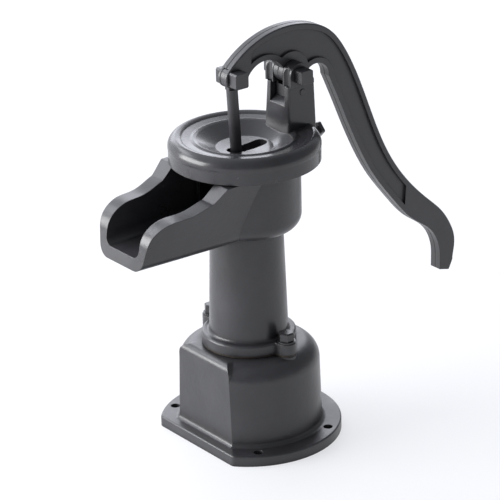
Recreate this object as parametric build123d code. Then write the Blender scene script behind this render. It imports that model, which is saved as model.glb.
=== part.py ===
"""Hand well pump: a cast-iron pitcher pump with a swivelling cap, a lever and a suction base.

Units are millimetres. The origin is where the barrel's axis meets the floor, and +Z is up.
The spout points along -X and the lever's grip hangs on the +X side. The lever works in the XZ plane.
"""
from build123d import *
import math
import os

# ---------------------------------------------------------------- base casting
FLANGE_R = 88.9            # round foot flange, cut flat on the spout side
FLANGE_FLAT = 67.5
FLANGE_T = 10.6
FLANGE_CORNER_R = 7.0
FLANGE_EDGE_R = 1.5
HOLE_X = 43.0              # holding-down holes on a rectangle
HOLE_Y = 67.0
HOLE_R = 4.5
BLOCK_R_LOW = 70.3         # the block above the flange, with casting draft
BLOCK_R_HIGH = 67.9
BLOCK_FLAT = 55.6
BLOCK_CORNER_Y = 39.7      # half width of the flat front land
DECK_Z = 93.5
SHOULDER_R = 18.5
LAND_END_R = 11.0
FRONT_EDGE_R = 7.0         # round between the flat front and the deck
LAND_DEPTH = 26.0
FOOT_FILLET = 4.0
CAVITY_R = 62.0
CAVITY_FLAT = 47.5
CAVITY_KNEE_Z = 66.0
CAVITY_TOP_R = 50.0
CAVITY_TOP_Z = 82.5
SOCKET_BOSS_R = 29.0
SOCKET_R = 20.0            # thread for a 1 1/4 inch suction pipe
SOCKET_DEPTH = 28.0
PORT_R = 16.0

# ---------------------------------------------------------------- joint between base and body
BOLT_CIRCLE_R = 50.5
BOLT_AXIS_DEG = -82.0
BOLT_SPACING_DEG = 180.0
BOLT_COUNT = 2
BOLT_R = 3.95
BOLT_HOLE_R = 4.4
TAPPED_R = 4.0
TAPPED_DEPTH = 24.0
BOLT_REACH = 22.0          # how far the shank goes into the base
LUG_R = 9.5
LUG_ROOT = 0.55            # a lug runs in to this fraction of its bolt's distance
LUG_COLUMN_DEPTH = 34.0
HEX_R = 7.8
HEX_H = 8.6
WASHER_R = 8.7
WASHER_T = 1.8
LEATHER_T = 2.5
GASKET_BORE_R = 27.0
GASKET_SET_BACK = 0.5

# ---------------------------------------------------------------- pump body: barrel, head and spout
BORE_R = 31.75
FOOT_R = 46.0
FOOT_T = 10.5
FOOT_TOP_FILLET = 2.5
BARREL_R_LOW = 38.5
BARREL_R_HIGH = 35.4
HEAD_R = 53.2
HEAD_BOTTOM_Z = 214.0
HEAD_CORNER_R = 14.0
HEAD_FLOOR_Z = 226.0
HEAD_BORE_R = 44.0
NECK_TOP_Z = 284.0
RIM_R = 62.0
RIM_TOP_Z = 292.0
BARREL_TOP_FILLET = 2.2
SPOUT_LIP_X = -148.0
SPOUT_TOP_Z = 282.0
# plan outlines of the spout and its trough: half width at the lip, a middle point and the inner end
SPOUT_LOW_PLAN = (31.8, (-80.0, 34.0), (0.0, 36.0))
SPOUT_HIGH_PLAN = (45.2, (-85.0, 51.8), (0.0, 50.0))
TROUGH_PLAN = (25.2, (-88.0, 30.0), (-32.0, 35.0))
TROUGH_CORNER_R = 8.5
# the spout's rim seen from the side: the lip rises, rounds over, runs level and sweeps up to the cap
SPOUT_LIP_LEAN = 5.0
RIM_CURVE = [(-143.4, 240.0), (-135.5, 253.0), (-120.0, 260.2), (-95.0, 262.4), (-77.0, 268.4),
             (-60.0, 281.6)]
RIM_START_DIR = (5.0, 22.0)
RIM_END_DIR = (1.0, 0.9)

# ---------------------------------------------------------------- cap casting
CAP_R = 72.8
SKIRT_Z = 282.6
SKIRT_BORE_R = 64.3
CAP_UNDER_Z = 292.05
CREASE_Z = 294.7
CREST_R = 65.5             # the raised roll round the cap's edge
CREST_Z = 307.2
CREST_MID = (71.2, 303.2)
ROLL_MID = (62.4, 306.6)            # the crest rolls over to the inward slope
SLOPE_OUT = (59.5, 305.0)
SLOPE_IN = (51.5, 303.8)
BEAD = (48.6, 304.8)                # low bead round the dish
DISH_START = (46.0, 303.9)
DISH_KNEE = (27.5, 294.6)
DISH_LOW = (9.0, 292.8)
DISH_UNDER = (28.0, 285.0)
DISH_UNDER_OUT_R = 42.0
ROD_SLOT_X = (-19.5, 25.0)
ROD_SLOT_W = 14.5
POST_LOW = (294.0, 38.4, 73.0, 19.2)      # height, front face x, back face x, half width
POST_HIGH = (347.0, 41.0, 72.2, 17.3)
POST_EDGE_R = 2.5
POST_SLOT_HALF = 11.0
POST_SLOT_Z = 333.0
POST_SLOT_SLOPE = (6.5, 4.5)        # run and fall of the sloped ledge at the slot's mouth
SCREW_Z = 289.3
SCREW_BOSS_R = 7.6
SCREW_BOSS_X = 88.0
SCREW_R = 3.7
SCREW_HOLE_R = 3.78
SCREW_TIP_X = 62.08
SCREW_HEAD_T = 3.8
SCREW_HEAD_SIDE = 11.8
SCREW_HEAD_GAP = 0.2

# ---------------------------------------------------------------- lever linkage
FULCRUM = (53.0, 358.6)
ROD_PIN = (-14.0, 367.0)
PIN_R = 4.0
RUNNING_R = 4.08
HELD_R = 4.03
FULCRUM_SIDE = 13.6        # across the flats of the square heads and nuts
ROD_PIN_SIDE = 14.8
NUT_CHAMFER = 1.2
FULCRUM_HEAD_T = 11.0
ROD_HEAD_T = 10.4
FULCRUM_NUT_T = 8.0
ROD_NUT_T = 6.6
THREAD_END = 1.2           # bolt thread left standing out of its nut

EAR_INNER_Y = 7.5
EAR_OUTER_Y = 19.5
EAR_R = 11.5
SADDLE_X = (41.5, 69.6)
SADDLE_SEAT_Z = 347.1
COLLAR_TOP_Z = 351.4
SADDLE_FLOOR_Z = 344.5
TONGUE_X = (47.5, 66.5)
TONGUE_HALF = 10.9
TONGUE_Z = 333.2
EAR_FLUTE_R = 5.0
EAR_FLUTE_AXIS = (38.9, 13.3)       # x and |y| of the upright flute in each ear's front
RIVET_X = 57.0
RIVET_Z = 340.0
RIVET_R = 3.0
RIVET_HOLE_R = 3.03
RIVET_HALF = 18.1

LEVER_HALF_T = 7.0
LEVER_EDGE = 0.9           # chamfer along the crest and the back of the tail
WEB_HALF_T = 4.3
RIM_W = 5.4
CREST_CENTRE = (49.66, 306.5)
ROD_END_R = 10.6
LEVER_CREST_R = math.dist(CREST_CENTRE, ROD_PIN) + ROD_END_R   # so the crest runs on into the rod end
HUB_R = 11.4
HUB_PAD_R = 20.0
# back edge of the lever below its crest, then its front edge from the grip back up to the fulcrum
BACK_CURVE = [(118.0, 368.2), (131.9, 341.9), (155.0, 285.0), (168.0, 255.6), (190.5, 219.6),
              (226.0, 182.2), (241.6, 167.4), (254.8, 147.4), (259.6, 125.0), (257.3, 111.5)]
GRIP_TIP = [(252.4, 99.6), (239.6, 102.8)]
FRONT_CURVE = [(239.0, 126.0), (228.9, 147.8), (205.0, 166.6), (180.0, 193.0), (154.3, 226.5),
               (131.7, 267.7), (120.9, 291.7), (110.7, 315.9), (101.9, 335.9), (92.7, 355.9)]
GRIP_BACK_DIR = (-0.47, -0.88)
FRONT_END_DIR = (-0.42, 0.91)
CREST_END_DEG = 68.0
ROD_END_LOW_DEG = -45.0
FRONT_ARCH = (21.8, 352.4, 24.3)    # arch between the rod end and the hub: x, z, radius
REAR_ARCH = (82.6, 344.3, 15.8)
WEB_START = (5.0, 374.0)
WEB_TAIL_Z = 199.0                  # the sunk web stops here and the plain grip begins
WEB_FRONT_Z = 181.0
INSET_STEPS = 24
ROD_SLOT_HALF = 3.3
ROD_SLOT_R = 11.0

# ---------------------------------------------------------------- plunger rod
ROD_LOW = (-6.0, 221.0)
ROD_R = 5.55
TONGUE_R = 10.3
ROD_TONGUE_HALF = 3.0
SHAFT_START = 11.6
SHAFT_END_GAP = 26.0       # measured up from the lower eye's centre
JAM_NUT_T = 6.0
ROD_THREAD_R = 3.9
EYE_SOCKET_R = 3.95
EYE_BOSS_R = 6.5
EYE_BOSS_LOW = 11.4
EYE_THREAD_LOW = 12.6
EYE_HALF = (16.4, 9.4)     # outer half length and half height of the slotted eye
EYE_SLOT_HALF = (12.6, 6.4)
EYE_ROOT = 1.0             # how far the boss is let into the eye

# ---------------------------------------------------------------- plunger
PLUNGER_Z = 175.0
PLUNGER_PIN_Z = 221.0
PLUNGER_PIN_R = 3.2
PLUNGER_PIN_HOLE_R = 3.25
YOKE_INNER = 3.7
YOKE_OUTER = 9.2
YOKE_HALF_X = 9.0
YOKE_TOP = 228.2
YOKE_TOP_R = 7.2
PIN_HEAD_R = 5.0
PIN_HEAD_T = 1.6
FOLLOWER_R = 25.0
FOLLOWER_T = 7.0
FOLLOWER_BORE_R = 13.0
SLEEVE_R = 18.0
SLEEVE_TOP = 196.0
CUP_R = 31.45
CUP_T = 3.0
CUP_FOLD_R = 2.4
CUP_BASE_Z = 182.0
CUP_TOP_Z = 199.0
CUP_BORE_R = 18.1
CAGE_R = 27.6
CAGE_BORE_R = 18.05
CAGE_RING_TOP = 199.0
CAGE_INNER_R = 19.0
CAGE_COLUMN_R = 3.2
CAGE_COLUMNS = 4
CAGE_PLATE_Z = (206.2, 209.2)
CAGE_PLATE_R = 26.0
POPPET_R = 15.5
POPPET_WASHER_T = 2.0
POPPET_PLATE_T = 2.6
POPPET_HUB_R = 5.0
POPPET_HUB_TOP = 202.0
POPPET_STEM_R = 3.0
POPPET_WING_R = 12.9
POPPET_WING_T = 2.4
POPPET_WING_LOW = 180.0
POPPET_WINGS = 3
WASHER_BORE_R = 3.3
SEAT_GAP = 0.03

# ---------------------------------------------------------------- foot valve
FLAP_R = 22.0
FLAP_HINGE_X = 25.0
FLAP_TAB_HALF = 9.0
FLAP_HOLE_R = 3.05
WEIGHT_R = 12.0
WEIGHT_H = 9.0
WEIGHT_EDGE_R = 2.0
WEIGHT_SCREW_R = 3.0
WEIGHT_NUT_R = 5.5
WEIGHT_WASHER_R = 12.0
WEIGHT_WASHER_T = 2.0
WEIGHT_NUT_T = 4.0

GASKET_Z = DECK_Z
BODY_Z = DECK_Z + LEATHER_T
FOOT_TOP_Z = BODY_Z + FOOT_T


# ================================================================ small helpers
def disc(radius, z_low, z_high, x=0.0, y=0.0):
    """A solid cylinder standing on z_low."""
    return Pos(x, y, z_low) * extrude(Circle(radius), z_high - z_low)


def ring(r_out, r_in, z_low, z_high):
    """A flat ring about the barrel's axis."""
    return Pos(0, 0, z_low) * extrude(Circle(r_out) - Circle(r_in), z_high - z_low)


def block(x_span, y_span, z_span):
    """A rectangular block from three (low, high) spans."""
    size = [high - low for low, high in (x_span, y_span, z_span)]
    centre = [(high + low) / 2 for low, high in (x_span, y_span, z_span)]
    return Pos(*centre) * Box(*size)


def rod_y(radius, x, z, y_low, y_high):
    """A cylinder along Y at the given x and z."""
    return Pos(x, y_high, z) * (Plane.XZ * extrude(Circle(radius), y_high - y_low))


def square_y(side, x, z, y_low, y_high):
    """A square bar along Y with its long corners taken off, as a cast square nut has."""
    bar = Pos(x, y_high, z) * (Plane.XZ * extrude(Rectangle(side, side), y_high - y_low))
    return chamfer(bar.edges().filter_by(Axis.Y), NUT_CHAMFER)


def plate_xz(face, y_low, y_high):
    """A sketch drawn in (x, z) made into a plate between two y values."""
    return Pos(0, y_high, 0) * extrude(Plane.XZ * face, y_high - y_low)


def turned(points):
    """A solid of revolution about Z from an (r, z) outline."""
    return revolve(Plane.XZ * Polygon(*points, align=None), Axis.Z)


def bolt_places():
    """The (x, y) places of the bolts between the base and the body."""
    angles = [math.radians(BOLT_AXIS_DEG + k * BOLT_SPACING_DEG) for k in range(BOLT_COUNT)]
    return [(BOLT_CIRCLE_R * math.cos(a), BOLT_CIRCLE_R * math.sin(a)) for a in angles]


def lugged_disc(radius, hole_r):
    """The round foot outline with a lug at each bolt, and the bolt holes through it."""
    outline = Circle(radius)
    for x, y in bolt_places():
        root = Location((LUG_ROOT * x, LUG_ROOT * y, 0))
        lug = Circle(LUG_R).edge()
        outline += make_hull([lug.moved(Location((x, y, 0))), lug.moved(root)])
    for x, y in bolt_places():
        outline -= Pos(x, y) * Circle(hole_r)
    return outline


# ================================================================ base
def d_outline(radius, flat):
    """A circle with its spout side cut off flat."""
    return Circle(radius) & (Pos(radius - flat, 0) * Rectangle(2 * radius, 2 * radius))


def base_flange():
    plate = extrude(d_outline(FLANGE_R, FLANGE_FLAT), FLANGE_T)
    corners = plate.edges().filter_by(Axis.Z).sort_by(Axis.X)[:2]
    plate = fillet(corners, FLANGE_CORNER_R)
    return fillet(plate.faces().sort_by(Axis.Z)[-1].edges(), FLANGE_EDGE_R)


def base_block():
    """The D-shaped block: drafted and round-shouldered, with a square land along its flat front."""
    profile = Polygon((0, 0), (BLOCK_R_LOW, 0), (BLOCK_R_HIGH, DECK_Z), (0, DECK_Z), align=None)
    shoulder = profile.vertices().sort_by(Axis.X)[-2:].sort_by(Axis.Y)[-1]
    profile = fillet(shoulder, SHOULDER_R)
    body = revolve(Plane.XZ * profile, Axis.Z)
    land = block((-BLOCK_FLAT, LAND_DEPTH - BLOCK_FLAT), (-BLOCK_CORNER_Y, BLOCK_CORNER_Y),
                 (FLANGE_T, DECK_Z))
    land = fillet(land.faces().sort_by(Axis.Z)[-1].edges().filter_by(Axis.X), LAND_END_R)
    envelope = block((-BLOCK_FLAT, BLOCK_R_LOW), (-BLOCK_R_LOW, BLOCK_R_LOW), (0, DECK_Z))
    top_edges = envelope.faces().sort_by(Axis.Z)[-1].edges()
    envelope = fillet(top_edges.sort_by(Axis.X)[0], FRONT_EDGE_R)
    return (body + land) & envelope


def base_cavity():
    """The open underside, round the suction socket's boss."""
    hollow = turned([(SOCKET_BOSS_R, 0), (CAVITY_R, 0), (CAVITY_R, CAVITY_KNEE_Z),
                     (CAVITY_TOP_R, CAVITY_TOP_Z), (SOCKET_BOSS_R, CAVITY_TOP_Z)])
    return hollow & block((-CAVITY_FLAT, CAVITY_R), (-CAVITY_R, CAVITY_R), (0, CAVITY_TOP_Z))


def block_foot_edges(part):
    """The edges where the block rises from the flange."""
    level = [e for e in part.edges() if abs(e.center().Z - FLANGE_T) < 0.01]
    return [e for e in level
            if all(math.hypot(v.X, v.Y) < BLOCK_R_LOW + 1 and v.X > -BLOCK_FLAT - 1 for v in e.vertices())]


def base_casting():
    part = base_flange() + base_block()
    part = fillet(block_foot_edges(part), FOOT_FILLET)
    part -= base_cavity()
    for x, y in bolt_places():
        part += disc(LUG_R, DECK_Z - LUG_COLUMN_DEPTH, DECK_Z, x, y)
    for x, y in bolt_places():
        part -= disc(TAPPED_R, DECK_Z - TAPPED_DEPTH, DECK_Z, x, y)
    for x in (-HOLE_X, HOLE_X):
        for y in (-HOLE_Y, HOLE_Y):
            part -= disc(HOLE_R, 0, FLANGE_T, x, y)
    part -= disc(SOCKET_R, 0, SOCKET_DEPTH)
    part -= disc(PORT_R, 0, DECK_Z)
    return part


# ================================================================ foot valve
def valve_gasket():
    """The clamped part of the valve leather, which also seals the joint under the body."""
    outline = lugged_disc(FOOT_R - GASKET_SET_BACK, BOLT_HOLE_R) - Circle(GASKET_BORE_R)
    return Pos(0, 0, GASKET_Z) * extrude(outline, LEATHER_T)


def valve_flap():
    """The hinged part of the valve leather: a disc over the port, with a tab up to the hinge line."""
    tab = Pos(FLAP_HINGE_X / 2, 0) * Rectangle(FLAP_HINGE_X, 2 * FLAP_TAB_HALF)
    outline = Circle(FLAP_R) + tab - Circle(FLAP_HOLE_R)
    return Pos(0, 0, GASKET_Z + SEAT_GAP) * extrude(outline, LEATHER_T - SEAT_GAP)


def valve_weight():
    top = BODY_Z + WEIGHT_H
    weight = disc(WEIGHT_R, BODY_Z, top)
    weight = fillet(weight.faces().sort_by(Axis.Z)[-1].edges(), WEIGHT_EDGE_R)
    return weight - disc(FLAP_HOLE_R, BODY_Z, top)


def valve_weight_screw():
    """A screw up through the flap: round washer head below, shank, and the nut on the weight."""
    under = GASKET_Z + SEAT_GAP - WEIGHT_WASHER_T
    top = BODY_Z + WEIGHT_H
    screw = disc(WEIGHT_WASHER_R, under, under + WEIGHT_WASHER_T)
    screw += disc(WEIGHT_SCREW_R, under, top)
    nut = Pos(0, 0, top) * extrude(RegularPolygon(WEIGHT_NUT_R, 6), WEIGHT_NUT_T)
    return screw + nut


# ================================================================ body
def body_turned():
    """Foot, barrel, head and rim, turned as one and bored through."""
    profile = Polygon((0, BODY_Z), (FOOT_R, BODY_Z), (FOOT_R, FOOT_TOP_Z), (BARREL_R_LOW, FOOT_TOP_Z),
                      (BARREL_R_HIGH, HEAD_BOTTOM_Z), (HEAD_R, HEAD_BOTTOM_Z), (HEAD_R, NECK_TOP_Z),
                      (RIM_R, NECK_TOP_Z), (RIM_R, RIM_TOP_Z), (0, RIM_TOP_Z), align=None)

    def corner(sketch, x, y):
        return [v for v in sketch.vertices() if abs(v.X - x) < 0.01 and abs(v.Y - y) < 0.01]

    profile = fillet(corner(profile, HEAD_R, HEAD_BOTTOM_Z), HEAD_CORNER_R)
    profile = fillet(corner(profile, BARREL_R_HIGH, HEAD_BOTTOM_Z), BARREL_TOP_FILLET)
    profile = fillet(corner(profile, BARREL_R_LOW, FOOT_TOP_Z), FOOT_TOP_FILLET)
    profile = fillet(corner(profile, FOOT_R, FOOT_TOP_Z), FOOT_TOP_FILLET)
    return revolve(Plane.XZ * profile, Axis.Z)


def flared_outline(plan):
    """A plan outline about the XZ plane that widens from the lip towards the barrel in one sweep."""
    lip_half, middle, end = plan
    lip = (SPOUT_LIP_X - SPOUT_LIP_LEAN, lip_half)
    near = ThreePointArc(lip, middle, end)
    far = ThreePointArc((end[0], -end[1]), (middle[0], -middle[1]), (lip[0], -lip[1]))
    back = Line((end[0], end[1]), (end[0], -end[1]))
    front = Line((lip[0], -lip[1]), lip)
    return make_face([near.edge(), back.edge(), far.edge(), front.edge()])


def spout_side():
    """The spout's outline from the side, in (x, z)."""
    foot = (SPOUT_LIP_X, HEAD_BOTTOM_Z)
    rim = Spline(*RIM_CURVE, tangents=[RIM_START_DIR, RIM_END_DIR])
    lines = Polyline(RIM_CURVE[-1], (0, SPOUT_TOP_Z), (0, HEAD_BOTTOM_Z), foot, RIM_CURVE[0])
    return make_face([rim.edge()] + list(lines.edges()))


def side_bottom_edges(solid, z):
    """The two long edges along the bottom of a spout-shaped bar."""
    level = [e for e in solid.edges() if abs(e.center().Z - z) < 0.01]
    return [e for e in level if abs(e.center().Y) > TROUGH_CORNER_R]


def spout_outside():
    """The spout before it is hollowed, its walls leaning outward as they rise."""
    low = Pos(0, 0, HEAD_BOTTOM_Z) * flared_outline(SPOUT_LOW_PLAN)
    high = Pos(0, 0, SPOUT_TOP_Z) * flared_outline(SPOUT_HIGH_PLAN)
    bar = loft([low, high], ruled=True)
    bar = fillet(side_bottom_edges(bar, HEAD_BOTTOM_Z), HEAD_CORNER_R)
    return bar & plate_xz(spout_side(), -HEAD_R - 1, HEAD_R + 1)


def trough():
    """The open channel of the spout, which runs in under the cap to the head's bore."""
    depth = SPOUT_TOP_Z + 1 - HEAD_FLOOR_Z
    channel = Pos(0, 0, HEAD_FLOOR_Z) * extrude(flared_outline(TROUGH_PLAN), depth)
    return fillet(side_bottom_edges(channel, HEAD_FLOOR_Z), TROUGH_CORNER_R)


def pump_body():
    part = body_turned() + spout_outside()
    foot = Pos(0, 0, BODY_Z) * extrude(lugged_disc(FOOT_R - FOOT_TOP_FILLET, BOLT_HOLE_R), FOOT_T)
    part += foot
    for x, y in bolt_places():
        part -= disc(BOLT_HOLE_R, BODY_Z, FOOT_TOP_Z, x, y)
    part -= disc(BORE_R, BODY_Z, RIM_TOP_Z)
    part -= disc(HEAD_BORE_R, HEAD_FLOOR_Z, RIM_TOP_Z)
    return part - trough()


# ================================================================ joint hardware
def flange_bolts():
    head_z = FOOT_TOP_Z + WASHER_T
    bolts = []
    for x, y in bolt_places():
        head = Pos(x, y, head_z) * extrude(RegularPolygon(HEX_R, 6), HEX_H)
        head = chamfer(head.faces().sort_by(Axis.Z)[-1].edges(), NUT_CHAMFER)
        bolts.append(head + disc(BOLT_R, DECK_Z - BOLT_REACH, head_z, x, y))
    return Compound(children=bolts)


def flange_washers():
    rings = []
    for x, y in bolt_places():
        rings.append(Pos(x, y, FOOT_TOP_Z) * extrude(Circle(WASHER_R) - Circle(BOLT_HOLE_R), WASHER_T))
    return Compound(children=rings)


# ================================================================ cap
def cap_shell():
    """The lid: a skirt over the head's rim, a raised rolled edge, a slope, a bead and a deep dish."""
    crest = ThreePointArc((CAP_R, CREASE_Z), CREST_MID, (CREST_R, CREST_Z))
    roll = ThreePointArc((CREST_R, CREST_Z), ROLL_MID, SLOPE_OUT)
    top = Polyline(SLOPE_OUT, SLOPE_IN, BEAD, DISH_START, DISH_KNEE, DISH_LOW, (0, DISH_LOW[1]),
                   (0, DISH_UNDER[1]), DISH_UNDER, (DISH_UNDER_OUT_R, CAP_UNDER_Z),
                   (SKIRT_BORE_R, CAP_UNDER_Z), (SKIRT_BORE_R, SKIRT_Z), (CAP_R, SKIRT_Z),
                   (CAP_R, CREASE_Z))
    face = make_face([crest.edge(), roll.edge()] + list(top.edges()))
    return revolve(Plane.XZ * face, Axis.Z)


def cap_post():
    """The drafted standard that carries the lever."""
    sections = []
    for z, front, back, half in (POST_LOW, POST_HIGH):
        sections.append(Pos((front + back) / 2, 0, z) * Rectangle(back - front, 2 * half))
    post = loft(sections)
    upright = [e for e in post.edges() if abs(e.tangent_at(0.5).Z) > 0.9]
    return fillet(upright, POST_EDGE_R)


def post_slot():
    """The slot in the top of the post, with a sloped ledge at its mouth."""
    run, fall = POST_SLOT_SLOPE
    top, front = POST_HIGH[:2]
    back = POST_LOW[2]
    side = Polygon((front - run, POST_SLOT_Z - 2 * fall), (front + run, POST_SLOT_Z),
                   (back, POST_SLOT_Z), (back, top), (front - run, top), align=None)
    return plate_xz(side, -POST_SLOT_HALF, POST_SLOT_HALF)


def rod_slot():
    x_low, x_high = ROD_SLOT_X
    outline = Pos((x_low + x_high) / 2, 0) * SlotOverall(x_high - x_low, ROD_SLOT_W)
    return Pos(0, 0, DISH_UNDER[1]) * extrude(outline, CREST_Z - DISH_UNDER[1])


def screw_axis(radius, x_low, x_high):
    return Pos(x_low, 0, SCREW_Z) * (Plane.YZ * extrude(Circle(radius), x_high - x_low))


def cap_casting():
    boss = screw_axis(SCREW_BOSS_R, SKIRT_BORE_R + 1, SCREW_BOSS_X)
    part = cap_shell() + cap_post() + boss
    part -= screw_axis(SCREW_HOLE_R, SCREW_TIP_X, SCREW_BOSS_X)
    part -= post_slot() + rod_slot()
    return part - rod_y(RIVET_HOLE_R, RIVET_X, RIVET_Z, -CAP_R, CAP_R)


def set_screw():
    """Square-headed screw through the skirt's boss; its tip grips the head's rim and stops the swivel."""
    head_x = SCREW_BOSS_X + SCREW_HEAD_GAP
    square = Rectangle(SCREW_HEAD_SIDE, SCREW_HEAD_SIDE, rotation=45)
    head = Pos(head_x, 0, SCREW_Z) * (Plane.YZ * extrude(square, SCREW_HEAD_T))
    head = chamfer(head.edges().filter_by(Axis.X), NUT_CHAMFER)
    return head + screw_axis(SCREW_R, SCREW_TIP_X, head_x)


def ear_outline():
    """A low collar with sides drawn in from it to the round top over the fulcrum."""
    x_low, x_high = SADDLE_X
    collar = Pos((x_low + x_high) / 2, (SADDLE_SEAT_Z + COLLAR_TOP_Z) / 2) * Rectangle(
        x_high - x_low, COLLAR_TOP_Z - SADDLE_SEAT_Z)
    top = Circle(EAR_R).edge().moved(Location((*FULCRUM, 0)))
    return make_hull([top, *collar.edges()])


def fulcrum_saddle():
    """Clevis casting seated on the post: two ears for the lever's hub and a tongue down in the slot."""
    part = block(TONGUE_X, (-TONGUE_HALF, TONGUE_HALF), (TONGUE_Z, SADDLE_FLOOR_Z))
    flute_x, flute_y = EAR_FLUTE_AXIS
    for side in (-1, 1):
        low, high = sorted((side * EAR_INNER_Y, side * EAR_OUTER_Y))
        ear = plate_xz(ear_outline(), low, high)
        ear -= disc(EAR_FLUTE_R, SADDLE_SEAT_Z, FULCRUM[1] + EAR_R, flute_x, side * flute_y)
        inner = sorted((side * EAR_INNER_Y, side * TONGUE_HALF))
        ear += block(TONGUE_X, inner, (SADDLE_FLOOR_Z, SADDLE_SEAT_Z))
        part += ear
    part -= rod_y(HELD_R, *FULCRUM, -EAR_OUTER_Y, EAR_OUTER_Y)
    return part - rod_y(RIVET_HOLE_R, RIVET_X, RIVET_Z, -TONGUE_HALF, TONGUE_HALF)


def saddle_rivet():
    return rod_y(RIVET_R, RIVET_X, RIVET_Z, -RIVET_HALF, RIVET_HALF)


def pivot_bolt(place, side, grip_half, head_t, nut_t):
    """A square-headed bolt along Y: its head is on the -Y side, and its thread stands out of the nut."""
    x, z = place
    head = square_y(side, x, z, -grip_half - head_t, -grip_half)
    return head + rod_y(PIN_R, x, z, -grip_half, grip_half + nut_t + THREAD_END)


def pivot_nut(place, side, grip_half, nut_t):
    x, z = place
    nut = square_y(side, x, z, grip_half, grip_half + nut_t)
    return nut - rod_y(HELD_R, x, z, grip_half, grip_half + nut_t)


# ================================================================ lever
def on_circle(centre, radius, angle_deg):
    angle = math.radians(angle_deg)
    return (centre[0] + radius * math.cos(angle), centre[1] + radius * math.sin(angle))


def lever_curves():
    """The lever's edge curves in order, clockwise: rod end, crest, tail, grip tip and front."""
    dx = ROD_PIN[0] - CREST_CENTRE[0]
    dz = ROD_PIN[1] - CREST_CENTRE[1]
    start_deg = math.degrees(math.atan2(dz, dx))
    start = on_circle(CREST_CENTRE, LEVER_CREST_R, start_deg)
    end = on_circle(CREST_CENTRE, LEVER_CREST_R, CREST_END_DEG)
    low = on_circle(ROD_PIN, ROD_END_R, ROD_END_LOW_DEG)
    left = on_circle(ROD_PIN, ROD_END_R, (start_deg + ROD_END_LOW_DEG - 360) / 2)
    slope = math.radians(CREST_END_DEG - 90)
    rod_end = ThreePointArc(low, left, start)
    crest = ThreePointArc(start, on_circle(CREST_CENTRE, LEVER_CREST_R, 90), end)
    crest_dir = (math.cos(slope), math.sin(slope))
    tail = Spline(end, *BACK_CURVE, GRIP_TIP[0], tangents=[crest_dir, GRIP_BACK_DIR])
    tip = Line(GRIP_TIP[0], GRIP_TIP[1])
    front = Spline(GRIP_TIP[1], *FRONT_CURVE, tangents=[(0.0, 1.0), FRONT_END_DIR])
    return rod_end, crest, tail, tip, front


def lever_blank():
    """The lever from the side before its arches: round end, crest, long S-shaped tail and blunt grip."""
    curves = lever_curves()
    under = Polyline(FRONT_CURVE[-1], FULCRUM, on_circle(ROD_PIN, ROD_END_R, ROD_END_LOW_DEG))
    return make_face([curve.edge() for curve in curves] + list(under.edges()))


def inset(curve, z_stop):
    """Points at the rim's width to the right of a curve, kept above z_stop."""
    points = []
    for k in range(INSET_STEPS + 1):
        place = curve @ (k / INSET_STEPS)
        along = curve % (k / INSET_STEPS)
        point = (place.X + RIM_W * along.Y, place.Y - RIM_W * along.X)
        if point[1] > z_stop:
            points.append(point)
    return points


def web_pocket():
    """The sunk panel inside the lever's rim, from behind the rod end down to the grip."""
    tail, front = lever_curves()[2], lever_curves()[4]
    back_edge = Spline(*inset(tail, WEB_TAIL_Z))
    front_edge = Spline(*inset(front, WEB_FRONT_Z))
    inner_r = LEVER_CREST_R - RIM_W
    begin_deg = 180 - math.degrees(math.acos((CREST_CENTRE[0] - WEB_START[0]) / inner_r))
    begin = on_circle(CREST_CENTRE, inner_r, begin_deg)
    crest = ThreePointArc(begin, on_circle(CREST_CENTRE, inner_r, 90), back_edge @ 0)
    step = Line(back_edge @ 1, front_edge @ 0)
    under = Polyline(front_edge @ 1, WEB_START, begin)
    edges = [crest.edge(), back_edge.edge(), step.edge(), front_edge.edge()] + list(under.edges())
    panel = make_face(edges)
    for x, z, radius in (FRONT_ARCH, REAR_ARCH):
        panel -= Pos(x, z) * Circle(radius + RIM_W)
    return panel - Pos(*FULCRUM) * Circle(HUB_PAD_R)


def rod_end_slot():
    """The slot right through the lever's end that takes the rod's flat tongue."""
    x, z = ROD_PIN
    low = block((x - ROD_SLOT_R, x + ROD_SLOT_R), (-ROD_SLOT_HALF, ROD_SLOT_HALF), (z - ROD_SLOT_R, z))
    return rod_y(ROD_SLOT_R, x, z, -ROD_SLOT_HALF, ROD_SLOT_HALF) + low


def handle_lever():
    part = plate_xz(lever_blank(), -LEVER_HALF_T, LEVER_HALF_T)
    sides = [e for e in part.edges() if abs(abs(e.center().Y) - LEVER_HALF_T) < 0.01]
    above = ROD_PIN[1] + ROD_END_R
    part = chamfer([e for e in sides if max(v.Z for v in e.vertices()) > above], LEVER_EDGE)
    for x, z, radius in (FRONT_ARCH, REAR_ARCH):
        part -= rod_y(radius, x, z, -LEVER_HALF_T, LEVER_HALF_T)
    part += rod_y(HUB_R, *FULCRUM, -LEVER_HALF_T, LEVER_HALF_T)
    pocket = web_pocket()
    part -= plate_xz(pocket, WEB_HALF_T, LEVER_HALF_T)
    part -= plate_xz(pocket, -LEVER_HALF_T, -WEB_HALF_T)
    part -= rod_end_slot()
    part -= rod_y(HELD_R, *ROD_PIN, -LEVER_HALF_T, LEVER_HALF_T)
    return part - rod_y(RUNNING_R, *FULCRUM, -LEVER_HALF_T, LEVER_HALF_T)


# ================================================================ plunger rod
ROD_RUN = ROD_LOW[0] - ROD_PIN[0]
ROD_DROP = ROD_PIN[1] - ROD_LOW[1]
ROD_LENGTH = math.hypot(ROD_RUN, ROD_DROP)
ROD_LEAN_DEG = math.degrees(math.atan2(ROD_RUN, ROD_DROP))


def leaned(solid):
    """Place a piece drawn straight down from the rod pin along the rod's leaning axis."""
    return Pos(ROD_PIN[0], 0, ROD_PIN[1]) * Rot(0, -ROD_LEAN_DEG, 0) * solid


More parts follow.
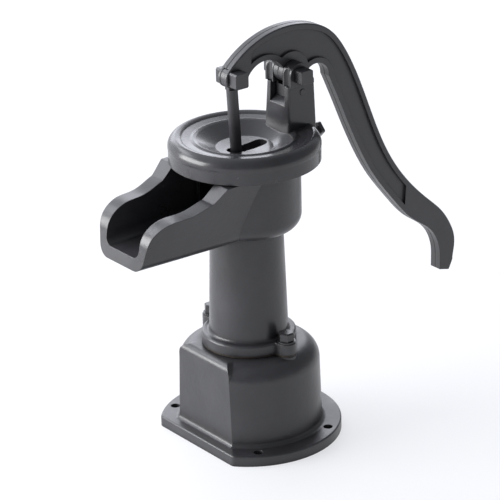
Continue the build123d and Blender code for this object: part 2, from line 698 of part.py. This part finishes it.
def plunger_rod():
    shaft_low = -(ROD_LENGTH - SHAFT_END_GAP)
    part = disc(ROD_R, shaft_low, -SHAFT_START)
    tongue = rod_y(TONGUE_R, 0, 0, -ROD_TONGUE_HALF, ROD_TONGUE_HALF)
    tongue += block((-ROD_R, ROD_R), (-ROD_TONGUE_HALF, ROD_TONGUE_HALF), (-SHAFT_START, 0))
    part += tongue
    part += disc(ROD_THREAD_R, -(ROD_LENGTH - EYE_THREAD_LOW), shaft_low)
    return leaned(part - rod_y(RUNNING_R, 0, 0, -ROD_TONGUE_HALF, ROD_TONGUE_HALF))


def rod_jam_nut():
    low = -(ROD_LENGTH - SHAFT_END_GAP) - JAM_NUT_T
    nut = Pos(0, 0, low) * extrude(RegularPolygon(HEX_R, 6) - Circle(EYE_SOCKET_R), JAM_NUT_T)
    return leaned(nut)


def rod_eye():
    """The screwed-on lower eye; its long slot lets the plunger run straight while the rod leans."""
    top = -(ROD_LENGTH - SHAFT_END_GAP) - JAM_NUT_T
    centre = -ROD_LENGTH
    slot = SlotOverall(2 * EYE_SLOT_HALF[0], 2 * EYE_SLOT_HALF[1])
    loop = SlotOverall(2 * EYE_HALF[0], 2 * EYE_HALF[1]) - slot
    plate = Pos(0, 0, centre) * plate_xz(loop, -ROD_TONGUE_HALF, ROD_TONGUE_HALF)
    neck = (centre + EYE_SLOT_HALF[1] + EYE_ROOT, centre + EYE_BOSS_LOW + EYE_ROOT)
    plate += block((-EYE_BOSS_R, EYE_BOSS_R), (-ROD_TONGUE_HALF, ROD_TONGUE_HALF), neck)
    boss = disc(EYE_BOSS_R, centre + EYE_BOSS_LOW, top)
    return leaned(plate + boss - disc(EYE_SOCKET_R, centre + EYE_THREAD_LOW, top))


# ================================================================ plunger
def plunger_follower():
    """Lower ring and threaded sleeve: clamps the cup leather and carries the poppet's seat."""
    part = disc(FOLLOWER_R, PLUNGER_Z, PLUNGER_Z + FOLLOWER_T)
    part += disc(SLEEVE_R, PLUNGER_Z, SLEEVE_TOP)
    return part - disc(FOLLOWER_BORE_R, PLUNGER_Z, SLEEVE_TOP)


def cup_leather():
    """The cup: a flat leather washer whose rim is turned up against the bore."""
    part = disc(CUP_R, CUP_BASE_Z, CUP_TOP_Z)
    part -= disc(CUP_R - CUP_T, CUP_BASE_Z + CUP_T, CUP_TOP_Z)
    part = fillet(part.faces().sort_by(Axis.Z)[0].edges(), CUP_FOLD_R)
    return part - disc(CUP_BORE_R, CUP_BASE_Z, CUP_TOP_Z)


def plunger_cage():
    """Clamp ring, four columns round the poppet, a top plate and the yoke for the rod's eye."""
    part = ring(CAGE_R, CAGE_BORE_R, CUP_BASE_Z + CUP_T, CAGE_RING_TOP)
    column_place = (CAGE_INNER_R + CAGE_PLATE_R) / 2
    for k in range(CAGE_COLUMNS):
        turn = Rot(0, 0, (k + 0.5) * 360 / CAGE_COLUMNS)
        part += turn * disc(CAGE_COLUMN_R, CAGE_RING_TOP - 1, CAGE_PLATE_Z[0] + 1, column_place, 0)
    part += disc(CAGE_PLATE_R, *CAGE_PLATE_Z)
    for side in (-1, 1):
        arm_y = sorted((side * YOKE_INNER, side * YOKE_OUTER))
        arm = block((-YOKE_HALF_X, YOKE_HALF_X), arm_y, (CAGE_PLATE_Z[1] - 1, YOKE_TOP))
        part += fillet(arm.faces().sort_by(Axis.Z)[-1].edges().filter_by(Axis.Y), YOKE_TOP_R)
    return part - rod_y(PLUNGER_PIN_HOLE_R, 0, PLUNGER_PIN_Z, -YOKE_OUTER, YOKE_OUTER)


def plunger_pin():
    """The riveted pin across the yoke."""
    part = rod_y(PLUNGER_PIN_R, 0, PLUNGER_PIN_Z, -YOKE_OUTER, YOKE_OUTER)
    for low, high in ((-YOKE_OUTER - PIN_HEAD_T, -YOKE_OUTER), (YOKE_OUTER, YOKE_OUTER + PIN_HEAD_T)):
        part += rod_y(PIN_HEAD_R, 0, PLUNGER_PIN_Z, low, high)
    return part


def poppet_valve():
    """Disc, hub and winged stem; the wings guide it in the follower's bore."""
    seat = SLEEVE_TOP + SEAT_GAP + POPPET_WASHER_T
    part = disc(POPPET_R, seat, seat + POPPET_PLATE_T)
    part += disc(POPPET_HUB_R, seat, POPPET_HUB_TOP)
    part += disc(POPPET_STEM_R, POPPET_WING_LOW, seat)
    for k in range(POPPET_WINGS):
        wing = block((0, POPPET_WING_R), (-POPPET_WING_T / 2, POPPET_WING_T / 2),
                     (POPPET_WING_LOW, SLEEVE_TOP))
        part += Rot(0, 0, k * 360 / POPPET_WINGS) * wing
    return part


def poppet_washer():
    """The leather washer that the poppet presses on its seat."""
    low = SLEEVE_TOP + SEAT_GAP
    return ring(POPPET_R, WASHER_BORE_R, low, low + POPPET_WASHER_T)


# ================================================================ build
NODES = {
    "base_casting": base_casting,
    "valve_gasket": valve_gasket,
    "valve_flap": valve_flap,
    "valve_weight": valve_weight,
    "valve_weight_screw": valve_weight_screw,
    "pump_body": pump_body,
    "flange_bolts": flange_bolts,
    "flange_washers": flange_washers,
    "cap_casting": cap_casting,
    "set_screw": set_screw,
    "fulcrum_saddle": fulcrum_saddle,
    "saddle_rivet": saddle_rivet,
    "fulcrum_bolt": lambda: pivot_bolt(FULCRUM, FULCRUM_SIDE, EAR_OUTER_Y, FULCRUM_HEAD_T, FULCRUM_NUT_T),
    "fulcrum_nut": lambda: pivot_nut(FULCRUM, FULCRUM_SIDE, EAR_OUTER_Y, FULCRUM_NUT_T),
    "handle_lever": handle_lever,
    "rod_pin": lambda: pivot_bolt(ROD_PIN, ROD_PIN_SIDE, LEVER_HALF_T, ROD_HEAD_T, ROD_NUT_T),
    "rod_pin_nut": lambda: pivot_nut(ROD_PIN, ROD_PIN_SIDE, LEVER_HALF_T, ROD_NUT_T),
    "plunger_rod": plunger_rod,
    "rod_jam_nut": rod_jam_nut,
    "rod_eye": rod_eye,
    "plunger_cage": plunger_cage,
    "plunger_pin": plunger_pin,
    "cup_leather": cup_leather,
    "plunger_follower": plunger_follower,
    "poppet_valve": poppet_valve,
    "poppet_washer": poppet_washer,
}

os.makedirs("parts", exist_ok=True)
for name, make in NODES.items():
    export_step(make(), f"parts/{name}.step")
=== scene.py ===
"""Looks of the hand well pump: black enamelled cast iron on a pale floor.

Metres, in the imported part's frame: the barrel's axis is Z and the spout points along -X.
"""
import math

import bmesh
import bpy
from mathutils import Matrix, Vector

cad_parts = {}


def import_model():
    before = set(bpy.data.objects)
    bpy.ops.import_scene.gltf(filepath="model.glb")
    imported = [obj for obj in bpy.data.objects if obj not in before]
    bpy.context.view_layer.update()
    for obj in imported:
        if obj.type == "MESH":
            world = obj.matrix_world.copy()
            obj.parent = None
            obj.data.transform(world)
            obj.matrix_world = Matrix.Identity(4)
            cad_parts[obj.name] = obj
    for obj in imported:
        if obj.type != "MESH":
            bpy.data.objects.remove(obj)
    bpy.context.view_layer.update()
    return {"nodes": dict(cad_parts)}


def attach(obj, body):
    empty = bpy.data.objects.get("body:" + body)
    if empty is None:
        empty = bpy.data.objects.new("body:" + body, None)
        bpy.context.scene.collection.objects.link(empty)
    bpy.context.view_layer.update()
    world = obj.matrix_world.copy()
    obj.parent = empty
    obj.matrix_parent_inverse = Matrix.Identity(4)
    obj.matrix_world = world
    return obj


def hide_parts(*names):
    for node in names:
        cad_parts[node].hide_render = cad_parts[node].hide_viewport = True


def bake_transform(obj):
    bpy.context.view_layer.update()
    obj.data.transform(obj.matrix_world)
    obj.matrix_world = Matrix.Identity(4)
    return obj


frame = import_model()
nodes = frame["nodes"]

MM = 0.001
TURN = 2 * math.pi

# ---------------------------------------------------------------- camera
CAMERA_PLACE = (-1.5694, -2.0694, 1.2841)
CAMERA_AZIMUTH = -37.239
CAMERA_ELEVATION = 22.886
CAMERA_ROLL = -1.335
CAMERA_LENS = 211.5
CAMERA_SENSOR = 36.0

# ---------------------------------------------------------------- light
LIT_POINT = (0.0, 0.0, 0.2)
# softboxes: name, place, size, watts, tint
SOFTBOXES = (
    ("window_left", (-2.0, 1.2, 0.85), (2.0, 1.3), 84.0, (1.0, 1.0, 1.0)),
    ("window_back", (1.3, 2.3, 1.15), (2.4, 1.3), 24.0, (0.90, 0.91, 1.0)),
    ("window_high", (-0.7, 2.1, 1.9), (1.5, 0.6), 13.0, (0.93, 0.94, 1.0)),
)
ROOM_TINT = (0.92, 0.94, 1.0, 1.0)
ROOM_GLOW = 0.30
WALL_DIRECTION = (-0.25, 0.95, 0.2)   # the pale wall beyond the pump
WALL_GLOW = 1.1
WALL_SPREAD = (-0.2, 1.0)             # cosines off that direction where the glow ends and is full
PAPER = ((0.30, 0.302, 0.31), (0.29, 0.292, 0.30))
PAPER_TINT = (0.97, 0.975, 1.0, 1.0)
PAPER_GLOW = 0.66
FLOOR_SIZE = 30.0


# ================================================================ shader helpers
class Shader:
    """A material's node tree with short calls for adding and linking nodes."""

    def __init__(self, name):
        self.material = bpy.data.materials.new(name)
        self.material.use_nodes = True
        self.tree = self.material.node_tree
        self.tree.nodes.clear()
        self.place = self.add("ShaderNodeTexCoord").outputs["Object"]
        self.facing = self.add("ShaderNodeNewGeometry").outputs["Normal"]

    def add(self, kind, settings=None, **inputs):
        """A node with these properties; inputs are values or sockets, by name or as i0, i1, ..."""
        made = self.tree.nodes.new(kind)
        for key, value in (settings or {}).items():
            setattr(made, key, value)
        for key, value in inputs.items():
            by_number = key[0] == "i" and key[1:].isdigit()
            self.feed(made.inputs[int(key[1:]) if by_number else key.replace("_", " ")], value)
        return made

    def feed(self, socket, value):
        if isinstance(value, bpy.types.NodeSocket):
            self.tree.links.new(value, socket)
        else:
            socket.default_value = value

    def noise(self, per_metre, detail=3.0, rough=0.55, where=None):
        made = self.add("ShaderNodeTexNoise", Vector=where or self.place, Scale=per_metre,
                        Detail=detail, Roughness=rough)
        return made.outputs["Fac"]

    def math(self, operation, a, b=0.0, clamp=False):
        made = self.add("ShaderNodeMath", {"operation": operation, "use_clamp": clamp}, i0=a, i1=b)
        return made.outputs[0]

    def span(self, value, low, high, to_low=0.0, to_high=1.0):
        """The value's range low..high carried to to_low..to_high, and held there outside it."""
        made = self.add("ShaderNodeMapRange", {"interpolation_type": "SMOOTHSTEP"}, Value=value)
        limits = {"From Min": low, "From Max": high, "To Min": to_low, "To Max": to_high}
        for key, number in limits.items():
            made.inputs[key].default_value = number
        return made.outputs["Result"]

    def mix(self, share, a, b):
        made = self.add("ShaderNodeMix", {"data_type": "RGBA"})
        self.feed(made.inputs["Factor"], share)
        self.feed(made.inputs["A"], a if isinstance(a, bpy.types.NodeSocket) else (*a, 1.0))
        self.feed(made.inputs["B"], b if isinstance(b, bpy.types.NodeSocket) else (*b, 1.0))
        return made.outputs["Result"]

    def dot(self, a, b):
        made = self.add("ShaderNodeVectorMath", {"operation": "DOT_PRODUCT"}, i0=a, i1=b)
        return made.outputs["Value"]

    def rounded(self, radius):
        """The surface's normal with its sharp edges rounded off by this radius."""
        return self.add("ShaderNodeBevel", {"samples": 6}, Radius=radius).outputs["Normal"]

    def edges(self, radius):
        """1 along sharp edges and 0 on open faces, from how far the rounded normal turns."""
        return self.span(self.dot(self.rounded(radius), self.facing), 0.985, 0.80)

    def crease_shade_mask(self, reach):
        """Mask for painted shade: 1 on open faces, falling to 0 down in creases and corners of this
        reach.
        """
        made = self.add("ShaderNodeAmbientOcclusion", {"samples": 6}, Distance=reach)
        return self.span(made.outputs["AO"], 0.15, 0.85)

    def bump(self, height, depth, normal=None):
        made = self.add("ShaderNodeBump", Height=height, Distance=depth, Strength=1.0)
        if normal is not None:
            self.feed(made.inputs["Normal"], normal)
        return made.outputs["Normal"]

    def finish(self, colour, roughness, metallic=0.0, normal=None, **extra):
        surface = self.add("ShaderNodeBsdfPrincipled")
        self.feed(surface.inputs["Base Color"], colour)
        self.feed(surface.inputs["Roughness"], roughness)
        self.feed(surface.inputs["Metallic"], metallic)
        if normal is not None:
            self.feed(surface.inputs["Normal"], normal)
        for key, value in extra.items():
            self.feed(surface.inputs[key.replace("_", " ")], value)
        out = self.add("ShaderNodeOutputMaterial")
        self.feed(out.inputs["Surface"], surface.outputs["BSDF"])
        return self.material


# ================================================================ materials
DUST = (0.55, 0.55, 0.56)
RUBBED = (0.11, 0.105, 0.10)
Y_AXIS = (0.0, 1.0, 0.0)
SEAM_REACH = (0.9 * MM, 0.4 * MM)     # off the lever's middle plane, where its seam ends and is full


def scaled(share, colour):
    return tuple(share * c for c in colour)


def dusted(s, base):
    """The colour with a rare pale speck of dust."""
    speck = s.add("ShaderNodeTexVoronoi", Vector=s.place, Scale=150.0)
    near = s.span(speck.outputs["Distance"], 0.07, 0.045)
    chosen = s.span(s.dot(speck.outputs["Color"], (1.0, 0.0, 0.0)), 0.97, 0.975)
    return s.mix(s.math("MULTIPLY", s.math("MULTIPLY", near, chosen), 0.5), base, DUST)


def seam_line(s):
    """1 along the moulding seam down the middle of the edges that face away from Y."""
    line = s.span(s.math("ABSOLUTE", s.dot(s.place, Y_AXIS)), *SEAM_REACH)
    on_edge = s.span(s.math("ABSOLUTE", s.dot(s.facing, Y_AXIS)), 0.5, 0.3)
    return s.math("MULTIPLY", line, on_edge)


def enamel(name, colour, gloss=0.34, grain=0.05, edge=0.9, wear=0.3, reach=9.0, seam=False):
    """Black enamel on sand-cast iron. grain, edge and reach are in mm.

    It has sandy grain, flow marks, rubbed edges, dust and, if asked, a moulding seam; its creases
    and corners get painted shade, out to reach.
    """
    s = Shader(name)
    mottle = s.noise(22.0, 4.0)
    flow = s.noise(210.0, 2.0)
    sand = s.noise(1500.0, 3.0, 0.6)
    lumps = s.noise(80.0, 2.0)
    base = s.mix(s.span(mottle, 0.35, 0.7), colour, scaled(1.4, colour))
    rub = s.math("MULTIPLY", s.edges(edge * MM), s.span(s.noise(120.0, 4.0), 0.42, 0.62))
    base = s.mix(s.math("MULTIPLY", rub, wear), base, RUBBED)
    base = dusted(s, base)
    rough = s.math("ADD", s.span(mottle, 0.3, 0.7, gloss - 0.05, gloss + 0.06),
                   s.math("MULTIPLY", rub, 0.12))
    height = s.math("ADD", s.math("MULTIPLY", flow, 0.9), s.math("MULTIPLY", sand, 0.25))
    height = s.math("ADD", height, s.math("MULTIPLY", lumps, 2.2))
    if seam:
        line = seam_line(s)
        base = s.mix(line, base, scaled(0.3, colour))
        rough = s.math("ADD", rough, s.math("MULTIPLY", line, 0.35))
        height = s.math("SUBTRACT", height, s.math("MULTIPLY", line, 2.5))
    # painted shade: within reach of a crease or corner the colour darkens to 0.35 of itself and the
    # specular level drops from 0.55 to 0.12
    unshaded_share = s.crease_shade_mask(reach * MM)
    base = s.mix(unshaded_share, scaled(0.35, colour), base)
    crease_dimmed_specular = s.span(unshaded_share, 0.0, 1.0, 0.12, 0.55)
    normal = s.bump(height, grain * MM, s.rounded(edge * MM))
    return s.finish(base, rough, normal=normal, Specular_IOR_Level=crease_dimmed_specular)


def bare_metal(name, colour, gloss, streak_axis=None, stain=(0.10, 0.07, 0.05), stain_share=0.25):
    """Machined or rubbed metal: fine turning lines, stained patches and brighter edges."""
    s = Shader(name)
    where = s.place
    if streak_axis is not None:
        squeeze = [1.0, 1.0, 1.0]
        squeeze[streak_axis] = 12.0
        where = s.add("ShaderNodeMapping", i0=s.place, i3=tuple(squeeze)).outputs["Vector"]
    lines = s.noise(500.0, 3.0, 0.6, where)
    patches = s.noise(60.0, 5.0, 0.6)
    base = s.mix(s.math("MULTIPLY", s.span(patches, 0.48, 0.72), stain_share), colour, stain)
    bright = tuple(min(1.0, 1.5 * c) for c in colour)
    base = s.mix(s.math("MULTIPLY", s.edges(0.6 * MM), 0.4), base, bright)
    rough = s.math("ADD", s.span(patches, 0.3, 0.75, gloss, gloss + 0.2),
                   s.math("MULTIPLY", lines, 0.08))
    normal = s.bump(lines, 0.03 * MM, s.rounded(0.4 * MM))
    return s.finish(base, rough, metallic=1.0, normal=normal)


def leather(name, colour):
    """Oiled pump leather: pebbled grain with fine pores and darker, wetter patches."""
    s = Shader(name)
    cells = s.add("ShaderNodeTexVoronoi", {"feature": "DISTANCE_TO_EDGE"},
                  Vector=s.place, Scale=900.0)
    grain = s.span(cells.outputs["Distance"], 0.0, 0.25)
    pores = s.noise(2600.0, 2.0)
    patches = s.noise(70.0, 4.0)
    dark = scaled(0.4, colour)
    base = s.mix(s.span(patches, 0.35, 0.65), colour, dark)
    base = s.mix(s.span(grain, 0.5, 0.0, 0.0, 0.5), base, dark)
    rough = s.span(patches, 0.3, 0.7, 0.62, 0.42)
    height = s.math("ADD", grain, s.math("MULTIPLY", pores, 0.4))
    return s.finish(base, rough, normal=s.bump(height, 0.12 * MM))


BLACK = (0.027, 0.027, 0.030)

paints = {
    "base_paint": enamel("enamel_base", BLACK, gloss=0.34, grain=0.10),
    # the body's painted crease shade reaches 24 mm, deep into the spout's trough
    "body_paint": enamel("enamel_body", BLACK, gloss=0.32, grain=0.09, reach=24.0),
    "cap_paint": enamel("enamel_cap", BLACK, gloss=0.23, grain=0.03),
    "saddle_paint": enamel("enamel_saddle", BLACK, gloss=0.32),
    "lever_paint": enamel("enamel_lever", BLACK, gloss=0.36, grain=0.08, seam=True),
    "hardware_paint": enamel("enamel_hardware", BLACK, gloss=0.30, grain=0.04, edge=0.6, wear=0.5),
    "rod_paint": enamel("enamel_rod", BLACK, gloss=0.34, edge=0.5),
    "bare_iron": bare_metal("iron_machined", (0.22, 0.21, 0.20), 0.42, 2),
    "bare_steel": bare_metal("steel_turned", (0.42, 0.42, 0.43), 0.28, 2),
    "brass": bare_metal("brass_turned", (0.66, 0.47, 0.20), 0.24, 2, (0.20, 0.13, 0.06)),
    "leather": leather("leather_oiled", (0.030, 0.019, 0.011)),
}


def dress(obj, material):
    obj.data.materials.clear()
    obj.data.materials.append(material)


for obj in nodes.values():
    for place, carried in enumerate(obj.data.materials):
        obj.data.materials[place] = paints[carried.name.split(".")[0]]


# ================================================================ leathers
GASKET_LOW, GASKET_HIGH = 93.5 * MM, 96.0 * MM
GASKET_R = 45.3 * MM
GASKET_BORE = 27.0 * MM
BOLT_CIRCLE = 50.5 * MM
BOLT_HOLE = 4.4 * MM
LUG_R = 9.3 * MM
BOLT_DEGREES = (-82.0, 98.0)
FLAP_R = 21.8 * MM
FLAP_TAB_HALF = 8.8 * MM
FLAP_TAB_END = 27.2 * MM
FLAP_HOLE = 3.2 * MM
LEATHER_ROUND = 0.45 * MM
HAND_CUT = 0.2 * MM                  # how far the cut outlines waver
BORE_CUT = 0.25 * MM
FLAP_CLEARANCE = 0.03 * MM           # under the flap, so that it lies clear of its seat


def wobble(angle, share, phase):
    """A smooth hand-cut waver about zero, the same every time."""
    return share * (math.sin(3 * angle + phase) + 0.6 * math.sin(7 * angle + 2 * phase)
                    + 0.3 * math.sin(13 * angle + 3 * phase)) / 1.9


def ring_points(radius, count, x=0.0, y=0.0, waver=0.0, phase=0.0):
    turns = [TURN * k / count for k in range(count)]
    return [(x + (radius + wobble(a, waver, phase)) * math.cos(a),
             y + (radius + wobble(a, waver, phase)) * math.sin(a)) for a in turns]


def gasket_reach(angle):
    """The gasket outline's distance from the axis: a circle with a lug round each bolt."""
    reach = GASKET_R
    for degrees in BOLT_DEGREES:
        off = abs(math.remainder(angle - math.radians(degrees), TURN))
        if off > TURN / 4:
            continue
        edge = LUG_R / max(math.sin(off), 1e-6)
        if edge * math.cos(off) > BOLT_CIRCLE:
            across = BOLT_CIRCLE * math.sin(off)
            edge = BOLT_CIRCLE * math.cos(off) + math.sqrt(LUG_R ** 2 - across ** 2)
        reach = max(reach, edge)
    return reach


def cut_sheet(name, outlines, low, high):
    """A leather sheet with rounded edges, cut to its first outline, with the others as holes."""
    curve = bpy.data.curves.new(name, "CURVE")
    curve.dimensions = "2D"
    curve.fill_mode = "BOTH"
    for outline in outlines:
        spline = curve.splines.new("POLY")
        spline.points.add(len(outline) - 1)
        for point, (x, y) in zip(spline.points, outline):
            point.co = (x, y, 0.0, 1.0)
        spline.use_cyclic_u = True
    curve.extrude = (high - low) / 2 - LEATHER_ROUND
    curve.bevel_depth = LEATHER_ROUND
    curve.offset = -LEATHER_ROUND
    curve.bevel_resolution = 2
    drawn = bpy.data.objects.new(name, curve)
    bpy.context.scene.collection.objects.link(drawn)
    drawn.location = (0.0, 0.0, (low + high) / 2)
    bpy.context.view_layer.update()
    graph = bpy.context.evaluated_depsgraph_get()
    mesh = bpy.data.meshes.new_from_object(drawn.evaluated_get(graph))
    made = bpy.data.objects.new(name, mesh)
    bpy.context.scene.collection.objects.link(made)
    made.location = drawn.location
    bpy.data.objects.remove(drawn)
    return made


def gasket():
    """The clamped ring of the valve leather, with its two bolt holes."""
    count = 240
    outside = []
    for k in range(count):
        a = TURN * k / count
        reach = gasket_reach(a) + wobble(a, HAND_CUT, 0.7)
        outside.append((reach * math.cos(a), reach * math.sin(a)))
    holes = [ring_points(GASKET_BORE, 120, waver=BORE_CUT, phase=1.9)]
    for degrees in BOLT_DEGREES:
        a = math.radians(degrees)
        x, y = BOLT_CIRCLE * math.cos(a), BOLT_CIRCLE * math.sin(a)
        holes.append(ring_points(BOLT_HOLE, 32, x, y))
    made = cut_sheet("valve_leather_clamped", [outside] + holes, GASKET_LOW, GASKET_HIGH)
    dress(made, paints["leather"])
    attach(made, "stand")
    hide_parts("valve_gasket")


def flap():
    """The hinged leather, cut as one flat sheet with its tab beside the clamped ring."""
    root = math.asin(FLAP_TAB_HALF / FLAP_R)
    count = 120
    outline = []
    for k in range(count + 1):
        a = root + (TURN - 2 * root) * k / count
        reach = FLAP_R + wobble(a, HAND_CUT, 2.6)
        outline.append((reach * math.cos(a), reach * math.sin(a)))
    steps = 14
    start = FLAP_R * math.cos(root)
    tab = [start + (FLAP_TAB_END - start) * k / steps for k in range(1, steps + 1)]
    outline += [(x, -FLAP_TAB_HALF) for x in tab]
    outline += [(x, FLAP_TAB_HALF) for x in reversed(tab)]
    hole = ring_points(FLAP_HOLE, 32)
    low = GASKET_LOW + FLAP_CLEARANCE
    made = cut_sheet("valve_leather_flap", [outline, hole], low, GASKET_HIGH)
    dress(made, paints["leather"])
    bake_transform(made)
    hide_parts("valve_flap")


def lathe(name, section, count):
    """A closed ring swept round Z from section(angle), a closed loop of (r, z) in millimetres."""
    mesh = bpy.data.meshes.new(name)
    made = bpy.data.objects.new(name, mesh)
    bpy.context.scene.collection.objects.link(made)
    shape = bmesh.new()
    rows = []
    for k in range(count):
        a = TURN * k / count
        rows.append([shape.verts.new((r * MM * math.cos(a), r * MM * math.sin(a), z * MM))
                     for r, z in section(a)])
    for k in range(count):
        here, after = rows[k], rows[(k + 1) % count]
        for i in range(len(here)):
            j = (i + 1) % len(here)
            shape.faces.new((here[i], after[i], after[j], here[j]))
    bmesh.ops.recalc_face_normals(shape, faces=shape.faces)
    shape.to_mesh(mesh)
    shape.free()
    for face in mesh.polygons:
        face.use_smooth = True
    dress(made, paints["leather"])
    return made


def cup_section(angle):
    """The cup leather: a flat washer, a soft fold and a wall that puckers towards its lip."""
    pucker = 0.22 * math.sin(14 * angle) + 0.12 * math.sin(23 * angle + 1.0)
    lip = 0.35 * math.sin(5 * angle + 0.4) + 0.2 * math.sin(11 * angle)
    return [(18.3, 182.1), (24.0, 182.0), (28.6, 182.1), (30.4, 182.9), (31.2, 184.6),
            (31.3, 189.0), (31.1 + 0.3 * pucker, 194.0), (31.0 + pucker, 197.2),
            (30.7 + pucker, 198.4 + lip), (30.0 + pucker, 198.3 + lip), (29.3 + pucker, 197.0),
            (28.5 + 0.3 * pucker, 193.0), (28.3, 188.0), (27.6, 185.9), (26.2, 185.0),
            (18.3, 184.95)]


def washer_section(angle):
    """The poppet's leather washer, pressed to a shallow ring where it meets its seat."""
    edge = wobble(angle, 0.12, 0.9)
    return [(3.4, 196.3), (3.7, 196.08), (12.6, 196.08), (14.0, 196.2), (15.1 + edge, 196.1),
            (15.35 + edge, 196.5), (15.35 + edge, 197.6), (15.0 + edge, 198.0), (3.7, 198.0),
            (3.4, 197.7)]


def soft_ring(name, section, count, body, node):
    made = lathe(name, section, count)
    smooth = made.modifiers.new("smooth", "SUBSURF")
    smooth.levels = smooth.render_levels = 1
    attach(made, body)
    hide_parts(node)


gasket()
flap()
soft_ring("cup_leather_formed", cup_section, 168, "plunger", "cup_leather")
soft_ring("poppet_leather_pressed", washer_section, 96, "poppet", "poppet_washer")


# ================================================================ stage, light and camera
def floor():
    """Plain white paper lit from under as well, so that shadows on it stay faint."""
    bpy.ops.mesh.primitive_plane_add(size=FLOOR_SIZE, location=(0.0, 0.0, 0.0))
    made = bpy.context.object
    made.name = "floor"
    s = Shader("floor_paper")
    paper = s.mix(s.span(s.noise(3.0), 0.3, 0.7), *PAPER)
    dress(made, s.finish(paper, 0.8, Emission_Color=PAPER_TINT, Emission_Strength=PAPER_GLOW))


def softbox(name, place, size, power, tint):
    data = bpy.data.lights.new(name, "AREA")
    data.shape = "RECTANGLE"
    data.size, data.size_y = size
    data.energy = power
    data.color = tint
    made = bpy.data.objects.new(name, data)
    bpy.context.scene.collection.objects.link(made)
    made.location = place
    aim = Vector(LIT_POINT) - Vector(place)
    made.rotation_euler = aim.to_track_quat("-Z", "Y").to_euler()


def world():
    """A room that is dim overhead and behind the camera, with a pale wall beyond the pump."""
    made = bpy.data.worlds.new("studio")
    made.use_nodes = True
    tree = made.node_tree
    looking = tree.nodes.new("ShaderNodeTexCoord").outputs["Generated"]
    toward = tree.nodes.new("ShaderNodeVectorMath")
    toward.operation = "DOT_PRODUCT"
    tree.links.new(looking, toward.inputs[0])
    toward.inputs[1].default_value = WALL_DIRECTION
    glow = tree.nodes.new("ShaderNodeMapRange")
    glow.interpolation_type = "SMOOTHSTEP"
    tree.links.new(toward.outputs["Value"], glow.inputs["Value"])
    glow.inputs["From Min"].default_value, glow.inputs["From Max"].default_value = WALL_SPREAD
    glow.inputs["To Min"].default_value = ROOM_GLOW
    glow.inputs["To Max"].default_value = ROOM_GLOW + WALL_GLOW
    back = tree.nodes["Background"]
    back.inputs["Color"].default_value = ROOM_TINT
    tree.links.new(glow.outputs["Result"], back.inputs["Strength"])
    bpy.context.scene.world = made


def camera():
    a, e = math.radians(CAMERA_AZIMUTH), math.radians(CAMERA_ELEVATION)
    roll = math.radians(CAMERA_ROLL)
    back = Vector((math.sin(a) * math.cos(e), -math.cos(a) * math.cos(e), math.sin(e)))
    right = Vector((math.cos(a), math.sin(a), 0.0))
    up = back.cross(right)
    tilted_right = math.cos(roll) * right + math.sin(roll) * up
    tilted_up = math.cos(roll) * up - math.sin(roll) * right
    data = bpy.data.cameras.new("camera")
    data.lens = CAMERA_LENS
    data.sensor_width = CAMERA_SENSOR
    made = bpy.data.objects.new("camera", data)
    bpy.context.scene.collection.objects.link(made)
    made.matrix_world = Matrix((
        (tilted_right.x, tilted_up.x, back.x, CAMERA_PLACE[0]),
        (tilted_right.y, tilted_up.y, back.y, CAMERA_PLACE[1]),
        (tilted_right.z, tilted_up.z, back.z, CAMERA_PLACE[2]),
        (0.0, 0.0, 0.0, 1.0),
    ))
    bpy.context.scene.camera = made


floor()
world()
for box in SOFTBOXES:
    softbox(*box)
camera()
bpy.context.scene.view_settings.view_transform = "Standard"
